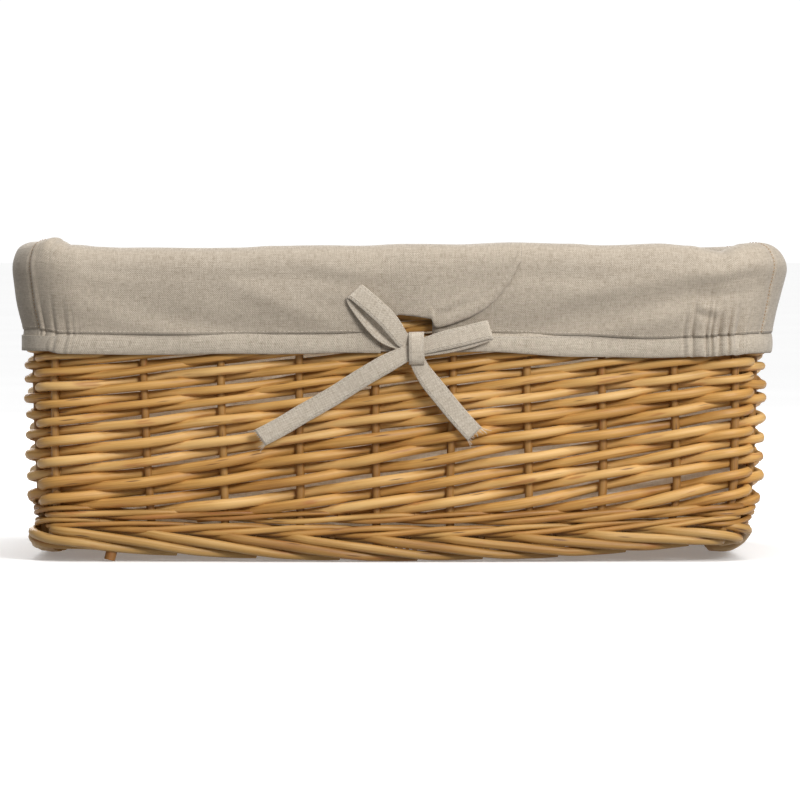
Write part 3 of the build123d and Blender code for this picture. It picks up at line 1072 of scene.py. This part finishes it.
def hung_folds(x, height):
    """How far the front's folds push the cloth out at a place, in metres."""
    total = 0.0
    p = Vector((x / MM, height / MM))
    for x0, z0, x1, z1, width, depth in FOLDS:
        a, b = Vector((x0, z0)), Vector((x1, z1))
        share = clamp((p - a).dot(b - a) / (b - a).length_squared)
        away = (p - (a + (b - a) * share)).length
        total += depth * math.sin(math.pi * (0.15 + 0.70 * share)) * math.exp(-((away / width) ** 2))
    return total * MM


# Lines of the sewn cloth, as rows of (distance from the front's middle, value), both in mm.
# How far the rim's top line rises or sags.
RIM_LINE = [
    (-760, -3.0), (-560, -3.0), (-520, -1.2), (-470, -2.4), (-365, -2.8), (-250, -1.6), (-230, 1.6),
    (-214, 1.6), (-206, 2.8), (-199, 3.7), (-193, 1.7), (-184, -0.4), (-170, -1.2), (-150, -2.0),
    (-88, -2.0), (-70, -1.0), (-40, -0.4), (-20, -0.8), (0, 0.0), (30, -0.2), (61, 0.9), (94, 0.2),
    (110, -0.6), (143, 0.4), (160, -0.8), (178, -3.6), (190, -0.8), (198, 0.4), (208, 0.8), (220, 0.8),
    (235, -0.8), (250, -2.0), (470, -2.4), (520, -2.2), (560, -3.0), (760, -3.0),
]
# How far the hem rises or sags.
HEM_LINE = [
    (-760, 0.0), (-500, 0.0), (-240, 2.5), (-208, 3.2), (-200, 2.0), (-190, 0.6), (-130, 0.0), (-60, 0.5),
    (-11, 1.3), (19, 1.2), (44, 1.1), (100, -0.5), (145, -2.2), (170, -1.3), (190, -0.2), (205, 0.6),
    (240, 0.8), (500, 0.0), (760, 0.0),
]
# How far the drawstring pulls the hem in on the left end.
PULL_LINE = [(-560, 0.0), (-486, 1.5), (-240, 1.5), (-205, 1.3), (-185, 0.4), (-171, 0.0), (760, 0.0)]


def line_at(rows, around):
    """The value of a line at a distance round the ring, eased between its rows, in metres."""
    place = ring_gap(around, front_middle) / MM
    for (p0, v0), (p1, v1) in zip(rows, rows[1:]):
        if place <= p1:
            share = max(0.0, (place - p0) / (p1 - p0))
            return (v0 + (v1 - v0) * ease(share)) * MM
    return rows[-1][1] * MM


# The liner is sewn together at its four corners, a little past the front and the back.
SEAM_TURN = 0.925 * cloth_corner
LEFT_SEAM_TURN = 0.82 * cloth_corner
CORNER_SEAMS = [
    CORNER_STARTS[0] + SEAM_TURN,
    CORNER_STARTS[1] + QUARTER - SEAM_TURN,
    CORNER_STARTS[2] + SEAM_TURN,
    CLOTH_RING - LEFT_SEAM_TURN,
]


def seam_shape(around):
    """The stitched corner seam: a narrow dent with a fuller edge on one side."""
    total = 0.0
    for seam in CORNER_SEAMS:
        gap = ring_gap(around, seam) / MM
        total += 0.45 * math.exp(-(((gap - 2.4) / 1.5) ** 2)) - 0.75 * math.exp(-((gap / 1.1) ** 2))
    return total * MM


# %% [markdown]
# ### Where the strip starts and ends
#
# Along the front, the lower edge of the strip follows the slit: the hem on both
# sides, the slit's slanting top, and then the pleat's curve up to the rim.

# %% Slit and pleat
SLIT_LEFT = -10.7 * MM
SLIT_RIGHT = 17.9 * MM
PLEAT_END = 67.0 * MM
# X and height in mm of the upper layer's lower edge, from the slit's left side to the rim.
UPPER_EDGE = [
    (-10.7, 129.5), (-7.0, 134.2), (-0.6, 137.6), (9.0, 136.6), (18.4, 135.0), (19.0, 129.6), (28.0, 132.0),
    (39.0, 136.4), (47.0, 141.0), (53.2, 146.2), (60.0, 155.0), (64.4, 163.0), (66.4, 170.0), (67.0, 175.0),
]


def upper_edge_height(x):
    x /= MM
    for (x0, z0), (x1, z1) in zip(UPPER_EDGE, UPPER_EDGE[1:]):
        if x <= x1:
            return (z0 + (z1 - z0) * (x - x0) / (x1 - x0)) * MM
    return UPPER_EDGE[-1][1] * MM


def column_step(travel):
    """How far apart the strip's columns stand at a distance from the front's middle."""
    around = travel + front_middle
    if travel > CLOTH_RING + SLIT_LEFT - 4 * MM:
        return 1.4 * MM
    if any(abs(ring_gap(around, seam)) < 5 * MM for seam in CORNER_SEAMS):
        return 0.7 * MM
    return 0.85 * MM if gather_depth(around) > 0.08 * MM else 3.4 * MM


def spread_columns():
    """Distances round the strip: close together at the gathers and the pleat, wider between."""
    end = CLOTH_RING + PLEAT_END
    places = [SLIT_RIGHT]
    while places[-1] < end - 0.5 * MM:
        places.append(min(places[-1] + column_step(places[-1]), end))
    cut = CLOTH_RING + SLIT_LEFT
    nearest = min(range(len(places)), key=lambda i: abs(places[i] - cut))
    places[nearest] = cut
    places.insert(nearest + 1, cut + 0.05 * MM)
    return places


cuff_columns = spread_columns()
CUFF_ROWS = 46
print("cuff", len(cuff_columns), "columns")


def layer_lift(x, beyond, height):
    """The pleat's top layer stands in front of the layer under it, and its edge is folded thick."""
    if not beyond:
        return 0.0
    lift = ease(clamp((x - SLIT_LEFT) / (26 * MM))) * 1.7 * MM
    if x > 15 * MM:
        edge = height - upper_edge_height(x)
        lift += math.exp(-((edge - 2.5 * MM) / (3.2 * MM)) ** 2) * 0.7 * MM
        lift -= math.exp(-((edge - 7.2 * MM) / (1.1 * MM)) ** 2) * 0.35 * MM
    return lift


def cuff_surface(travel, distance):
    """A point of the cuff. travel is the distance round from the front's middle."""
    around = travel + front_middle
    beyond = travel > CLOTH_RING + SLIT_LEFT
    x = travel - CLOTH_RING if beyond else travel
    reach, height = on_section(distance)
    hang = clamp((rim_height - 4 * MM - height) / (45 * MM))
    outside = 1.0 if reach > rim_outside - 9 * MM else 0.0
    fade = clamp((rim_height - 2 * MM - height) / (12 * MM)) * outside
    low = math.exp(-(max(0.0, height - casing_top) / (13 * MM)) ** 1.4)
    folds = soft_fold(around, height) + hung_folds(ring_gap(around, front_middle), height)
    # The border's rods stop the cloth from sinking in near the rim.
    deepest = -3.0 * MM + 2.4 * MM * clamp((height - 142 * MM) / (12 * MM))
    reach += max(folds, deepest) * fade
    reach += seam_shape(around) * outside
    below = clamp((height - casing_top) / (35 * MM))
    reach -= line_at(PULL_LINE, around) * (1 - below) * outside
    reach += gather_wave(around) * gather_depth(around) * low * outside * 1.3
    reach += layer_lift(x, beyond, height) * outside
    height += line_at(RIM_LINE, around) * max(0.0, 1 - hang * 1.6)
    height += line_at(HEM_LINE, around) * (1 - below) ** 1.5
    height += 0.5 * MM * noise.noise(Vector((around * 30, 3.3, 0.2))) * (1 - 0.7 * hang) - 0.3 * MM
    return ring_point(around, height, reach, cloth_corner)


# %% Make the cuff
def cuff_shape(column, row):
    travel = cuff_columns[column]
    start = 0.0
    if travel > CLOTH_RING + SLIT_LEFT:
        start = max(0.0, upper_edge_height(travel - CLOTH_RING) - casing_top) * 1.005
        start = min(start, cuff_height * 0.55)
    distance = start + (cuff_height - start) * row / (CUFF_ROWS - 1)
    return cuff_surface(travel, distance), (travel, distance)


liner_cuff = make_cloth("liner_cuff", len(cuff_columns), CUFF_ROWS, cuff_shape, CLOTH, liner_linen)
CUFF_NODES = ["front_cuff", "back_cuff", "left_cuff", "right_cuff", "cuff_corners"]
settle(liner_cuff, "liner", CUFF_NODES + band_nodes("rim_turnover"))

# %% [markdown]
# ## The hem casing
#
# The cuff's lower edge is turned up and stitched into a flat tube for the drawstring.
# It runs from one side of the slit round to the other, and it is gathered where the
# string has been pulled.

# %% Casing
casing_columns = [place for place in cuff_columns if place <= CLOTH_RING + SLIT_LEFT + 0.01 * MM]
casing_half = (casing_top - hem_height) / 2
CASING_ROWS = 17


def casing_shape(column, row):
    """Once round the flat tube: up the front, over the stitching and down the back."""
    travel = casing_columns[column]
    around = travel + front_middle
    angle = 2 * math.pi * row / (CASING_ROWS - 1) - math.pi / 2
    up = math.sin(angle)
    tight = (up + 1) / 2
    wave = gather_wave(around)
    depth = gather_depth(around)
    reach = rim_outside - 3.2 * MM + math.cos(angle) * 1.25 * MM * (1 - 0.75 * max(0.0, up) ** 3)
    reach += wave * depth * (0.9 + 0.2 * tight)
    reach += soft_fold(around, casing_top) * tight - line_at(PULL_LINE, around)
    height = (hem_height + casing_top) / 2 + up * casing_half
    height += 0.9 * MM * noise.noise(Vector((around * 20, 5.1, 0.9))) * (1 - tight)
    height += line_at(HEM_LINE, around) + 0.25 * MM * wave * min(1.0, depth / MM) * (1 - tight)
    spot = (travel, -casing_half * 4 * row / (CASING_ROWS - 1))
    return ring_point(around, height, reach, cloth_corner), spot


hem_casing = make_cloth(
    "hem_casing", len(casing_columns), CASING_ROWS, casing_shape, 0.5 * MM, casing_linen, offset=-1.0
)
CASING_NODES = ["front_left_casing", "front_right_casing", "back_casing", "left_casing", "right_casing"]
settle(hem_casing, "liner", CASING_NODES + ["casing_corners"])
casing_columns[-1] - casing_columns[0]

# %% [markdown]
# ## Stitches
#
# A row of stitches is one small bead, repeated by an Array modifier and laid along its
# seam by a Curve modifier. The corner seams are topstitched in brown thread, and a pale
# row closes the casing.


# %% Thread and stitches
def thread(name, pale, deep):
    finish = Finish(name)
    place = finish.amount("ShaderNodeTexCoord", {}, {}, "Object")
    finish.feed(
        Base_Color=finish.ramp(finish.noise(place, 900.0), [(0.35, deep), (0.65, pale)]),
        Roughness=0.8,
        Normal=finish.bump(finish.noise(place, 4000.0), 0.05 * MM),
    )
    return finish.material


seam_thread = thread("seam_thread", (0.42, 0.27, 0.15), (0.28, 0.16, 0.08))
pale_thread = thread("pale_thread", (0.66, 0.59, 0.49), (0.52, 0.45, 0.36))


def stitch_row(name, path, pitch, length, width, finish):
    """Stitches along a path of points, as one piece."""
    bpy.ops.object.select_all(action="DESELECT")
    bpy.ops.mesh.primitive_uv_sphere_add(segments=6, ring_count=5, radius=0.5)
    row = bpy.context.object
    row.name = row.data.name = name
    row.data.transform(Matrix.Translation((pitch / 2, 0, 0)) @ Matrix.Diagonal((length, width, width, 1)))
    bpy.ops.object.shade_smooth()
    copies = row.modifiers.new("copies", "ARRAY")
    copies.count = int(running_length(path)[-1] / pitch)
    copies.use_relative_offset = False
    copies.use_constant_offset = True
    copies.constant_offset_displace = (pitch, 0, 0)
    print(name, copies.count, "stitches")
    bpy.ops.object.modifier_apply(modifier=copies.name)
    bend_along(row, path)
    row.data.materials.append(finish)
    settle(row, "liner")


def on_cuff(travel, distance, proud):
    """A point just outside the cuff's face."""
    here = cuff_surface(travel, distance)
    along = cuff_surface(travel + 0.5 * MM, distance) - here
    up = cuff_surface(travel, distance + 0.5 * MM) - here
    return here + along.cross(up).normalized() * proud


for number, seam in enumerate(CORNER_SEAMS):
    travel = seam - front_middle
    path = [on_cuff(travel + 0.9 * MM, cuff_height * 0.86 * step / 40, 0.42 * MM) for step in range(41)]
    stitch_row(f"corner_stitches_{number + 1}", path, 1.9 * MM, 1.35 * MM, 0.5 * MM, seam_thread)

path = [on_cuff(place, 1.5 * MM, 0.38 * MM) for place in casing_columns]
stitch_row("casing_stitches", path, 2.4 * MM, 1.7 * MM, 0.42 * MM, pale_thread)

# %% [markdown]
# ## The pouch
#
# Inside, the liner hangs as a loose pouch with a flat floor. The walls lean against
# the weave, and sag inward a little, unevenly, between the floor and the rim.

# %% Pouch walls
floor_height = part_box("liner_floor")[1][2]
pouch_low_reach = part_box("liner_floor")[1][0] - corner_x
POUCH_STEP = 4 * MM
pouch_columns = int(ring_length(rod_corner) / POUCH_STEP)
POUCH_ROWS = 44


def pouch_shape(column, row):
    around = ring_length(rod_corner) * column / (pouch_columns - 1)
    share = row / (POUCH_ROWS - 1)
    height = floor_height + (rim_height - 6 * MM - floor_height) * share
    reach = pouch_low_reach + (rim_inside - pouch_low_reach - 0.2 * MM) * share
    slack = math.sin(math.pi * share) ** 0.7
    reach += slack * (0.35 + noise.noise(Vector((around * 14, height * 26, 4.4)))) * -1.4 * MM
    return ring_point(around, height, reach, rod_corner), (around, height)


liner_pouch = make_cloth(
    "liner_pouch", pouch_columns, POUCH_ROWS, pouch_shape, CLOTH, pouch_linen, closed=True
)
WALL_NODES = ["liner_front_wall", "liner_back_wall", "liner_left_wall", "liner_right_wall"]
settle(liner_pouch, "liner", WALL_NODES + ["liner_corner_seams"])

# %% Pouch floor
FLOOR_COLUMNS = 84
FLOOR_ROWS = 62


def floor_shape(column, row):
    half_x, half_y = corner_x + pouch_low_reach, corner_y + pouch_low_reach
    x = half_x * (2 * column / (FLOOR_COLUMNS - 1) - 1)
    y = half_y * (2 * row / (FLOOR_ROWS - 1) - 1)
    flat = (x, y)
    over_x, over_y = abs(x) - corner_x, abs(y) - corner_y
    if over_x > 0 and over_y > 0:
        u, v = over_x / pouch_low_reach, over_y / pouch_low_reach
        x = math.copysign(corner_x + pouch_low_reach * u * math.sqrt(1 - v * v / 2), x)
        y = math.copysign(corner_y + pouch_low_reach * v * math.sqrt(1 - u * u / 2), y)
    end_share, side_share = min(1.0, abs(x) / corner_x), min(1.0, abs(y) / corner_y)
    y += math.copysign(FRONT_BELLY * math.cos(end_share * math.pi / 2) ** 2 * side_share, y)
    x += math.copysign(SIDE_BELLY * math.cos(side_share * math.pi / 2) ** 2 * end_share, x)
    lump = noise.noise(Vector((x * 22, y * 22, 6.0))) * 0.7 * MM
    return strayed(Vector((x, y, floor_height + 1.1 * MM + lump + base_lift(x, y)))), flat


# The floor cloth takes the pouch's paler colours too: painted light.
liner_floor = make_cloth("liner_floor_cloth", FLOOR_COLUMNS, FLOOR_ROWS, floor_shape, CLOTH, pouch_linen)
settle(liner_floor, "liner", ["liner_floor"])

# %% [markdown]
# ## The ribbon
#
# The drawstring is a linen tape about a centimetre wide. A ribbon is a narrow grid
# led along a centre line, with a direction across it at every step, so it can turn
# its face, fold and curl.

# %% Ribbon from a centre line
string_low, string_high = height_range("drawstring")
RIBBON_WIDTH = string_high - string_low
RIBBON_THICKNESS = 0.8 * MM
RIBBON_COLUMNS = 9


def make_ribbon(name, stations, node, body, narrow, steps=6):
    """stations is a list of (centre, across): points in millimetres and directions over the width.
    narrow gives the share of the full width at a share of the length."""
    centres = smooth_route([Vector(centre) for centre, _ in stations], steps)
    overs = smooth_route([Vector(over).normalized() for _, over in stations], steps)
    distances = running_length(centres, MM)

    def shape(column, row):
        side = 2 * column / (RIBBON_COLUMNS - 1) - 1
        over = overs[row].normalized()
        half = RIBBON_WIDTH / 2 * narrow(distances[row] / distances[-1])
        point = centres[row] * MM + over * half * side
        return point, (side * RIBBON_WIDTH / 2, distances[row])

    ribbon = make_cloth(name, RIBBON_COLUMNS, len(centres), shape, RIBBON_THICKNESS, ribbon_linen)
    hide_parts(node)
    if body:
        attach(ribbon, body)
    print(name, "is", round(distances[-1] * 1000), "mm long")
    return ribbon


# %% The bow
# Centre lines are in millimetres, measured from the front face of the casing.
face = (front_y - FRONT_BELLY + 1.2 * MM) / MM


def from_face(rows):
    """Stations of a ribbon in front of the casing: x, distance in front (minus) and z, then the
    direction across."""
    return [((x, face + out, z), across) for x, out, z, *across in rows]


make_ribbon(
    "bow_left_loop",
    from_face([
        (7.0, -1.6, 120.5, 0.35, -0.1, 0.94), (1.6, -3.8, 123.5, 0.60, 0.0, 0.80),
        (-2.0, -4.8, 128.3, 0.62, 0.0, 0.78), (-7.1, -5.4, 134.7, 0.56, 0.0, 0.83),
        (-13.2, -5.4, 140.5, 0.54, 0.0, 0.84), (-19.3, -5.0, 145.9, 0.58, 0.0, 0.81),
        (-24.4, -3.8, 149.8, 0.70, 0.0, 0.71), (-25.6, -2.2, 147.9, 0.70, 0.1, 0.70),
        (-20.6, -0.9, 139.4, 0.60, 0.4, 0.70), (-13.9, -0.5, 131.0, 0.56, 0.45, 0.70),
        (-7.6, -0.6, 125.4, 0.50, 0.45, 0.74), (1.1, -0.9, 121.4, 0.30, 0.30, 0.90),
        (7.0, -1.0, 119.0, 0.10, 0.10, 0.98),
    ]),
    "left_loop", "liner",
    narrow=lambda t: 0.70 + 0.30 * min(1.0, 5.5 * t, 5.5 * (1 - t)),
)
make_ribbon(
    "bow_right_loop",
    from_face([
        (11.0, -1.8, 119.2, 0.0, 0.0, 1.0), (13.8, -2.6, 120.2, -0.06, 0.0, 1.0),
        (21.5, -3.4, 122.3, -0.18, 0.0, 0.98), (30.2, -3.7, 124.4, -0.22, 0.0, 0.97),
        (38.9, -3.4, 126.5, -0.26, 0.0, 0.96), (48.2, -2.7, 128.8, -0.29, 0.0, 0.95),
        (48.8, -1.5, 128.0, -0.29, 0.1, 0.95), (38.9, -0.8, 124.2, -0.26, 0.3, 0.92),
        (30.2, -0.6, 122.0, -0.20, 0.3, 0.93), (21.5, -0.7, 120.2, -0.12, 0.25, 0.96),
        (13.8, -0.9, 118.8, 0.0, 0.2, 0.98), (11.0, -0.9, 118.2, 0.0, 0.2, 0.98),
    ]),
    "right_loop", "liner",
    narrow=lambda t: 0.84 + 0.16 * min(1.0, 5 * t, 5 * (1 - t)),
)
make_ribbon(
    "bow_knot_band",
    from_face([
        (9.0, -0.2, 118.0, 1, 0, 0.03), (9.0, -0.5, 124.8, 1, 0, 0.03),
        (9.0, -2.4, 127.4, 1, 0, 0.03), (9.0, -4.8, 125.4, 1, 0, 0.03),
        (9.1, -5.8, 119.2, 1, 0, 0.03), (9.2, -5.0, 112.2, 1, 0, 0.03),
        (9.1, -2.6, 109.9, 1, 0, 0.03), (9.0, -0.6, 112.0, 1, 0, 0.03),
        (9.0, -0.2, 117.0, 1, 0, 0.03),
    ]),
    "bow_knot", "liner",
    narrow=lambda t: 0.80,
)

# %% The tails
LEFT_TAIL = from_face([
    (7.0, -2.6, 116.6, 0.10, 0.1, 0.99), (2.9, -3.2, 115.3, -0.06, 0.0, 1.0),
    (-4.0, -3.4, 112.0, -0.30, 0.0, 0.95), (-10.6, -3.0, 108.5, -0.46, 0.0, 0.89),
    (-22.4, -1.6, 101.5, -0.52, 0.0, 0.85), (-36.7, 0.8, 92.3, -0.53, 0.0, 0.85),
    (-53.0, 2.2, 82.9, -0.51, 0.0, 0.86), (-66.3, 2.9, 75.0, -0.52, 0.0, 0.85),
    (-77.5, 3.4, 69.1, -0.59, 0.0, 0.81),
])
RIGHT_TAIL = from_face([
    (9.2, -1.4, 115.6, 0.97, 0.0, 0.22), (10.2, -1.5, 110.5, 0.93, 0.0, 0.36),
    (14.6, -1.2, 103.0, 0.84, 0.0, 0.54), (22.3, -0.2, 93.2, 0.82, 0.0, 0.57),
    (32.4, 1.6, 80.9, 0.79, 0.0, 0.61), (41.2, 2.8, 71.2, 0.72, 0.0, 0.69),
])
# Frayed threads at the cut ends: place across the tape (-1 to 1), length in mm and how far it splays.
LEFT_FRAYS = [
    (-0.96, 4.2, -0.5), (-0.88, 3.4, -0.2), (-0.80, 3.6, 0.1), (-0.62, 1.0, 0.0), (-0.40, 0.8, 0.2),
    (-0.15, 0.9, -0.3), (0.10, 0.7, 0.1), (0.35, 0.9, -0.2), (0.60, 0.7, 0.3), (0.80, 1.0, 0.2),
    (0.95, 3.0, 0.7),
]
RIGHT_FRAYS = [
    (-0.96, 3.6, -0.4), (-0.86, 3.0, -0.1), (-0.70, 1.6, 0.2), (-0.45, 1.4, 0.4), (-0.20, 1.3, -0.3),
    (0.05, 1.5, 0.4), (0.28, 2.2, -0.6), (0.45, 1.6, 0.5), (0.62, 3.0, 0.2), (0.78, 3.6, 0.6),
    (0.90, 4.4, 0.2), (0.98, 4.8, 0.9),
]


def make_fringe(name, route, frays, body):
    """Loose threads that carry on from a tape's cut end."""
    end, over = Vector(route[-1][0]) * MM, Vector(route[-1][1]).normalized()
    onward = (end - Vector(route[-2][0]) * MM).normalized()
    threads = []
    for number, (side, length, splay) in enumerate(frays):
        start = end + over * side * RIBBON_WIDTH / 2 - onward * 1.2 * MM
        path = []
        for step in range(7):
            share = step / 6
            lean_out = over * splay * share * share * length * 0.8 * MM
            droop = Vector((0, -0.25 * math.sin(share * 3), -0.12 * share * share * length)) * MM
            path.append(start + onward * (share * (length + 1.2) * MM) + lean_out + droop)
        threads.append(bend_rod(f"{name}_{number}", path, [0.17 * MM] * 5 + [0.14 * MM] * 2, 0.5, 6))
    fringe = bundle(name, threads, pale_thread)
    settle(fringe, body)
    return fringe


left_fringe = make_fringe("left_tail_fringe", LEFT_TAIL, LEFT_FRAYS, "left_tail")
right_fringe = make_fringe("right_tail_fringe", RIGHT_TAIL, RIGHT_FRAYS, "right_tail")
left_tail = make_ribbon(
    "bow_left_tail", LEFT_TAIL, "left_tail", None,
    narrow=lambda t: 0.84 + 0.16 * min(1.0, 6 * t),
)
right_tail = make_ribbon(
    "bow_right_tail", RIGHT_TAIL, "right_tail", None,
    narrow=lambda t: 0.74 + 0.26 * min(1.0, 3 * t),
)
for tail, route, body in ((left_tail, LEFT_TAIL, "left_tail"), (right_tail, RIGHT_TAIL, "right_tail")):
    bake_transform(tail)

# %% The drawstring inside the casing
STRING_STEPS = 150
string_start = SLIT_RIGHT - 4 * MM
string_end = CLOTH_RING + SLIT_LEFT + 14 * MM
string_stations = []
for step in range(STRING_STEPS + 1):
    around = front_middle + string_start + (string_end - string_start) * step / STRING_STEPS
    point = ring_point(around, (hem_height + casing_top) / 2, rim_outside - 3.4 * MM, cloth_corner)
    string_stations.append((point / MM, (0, 0, 1)))
make_ribbon(
    "drawstring_ribbon", string_stations, "drawstring", "liner",
    narrow=lambda t: 0.80, steps=2,
)
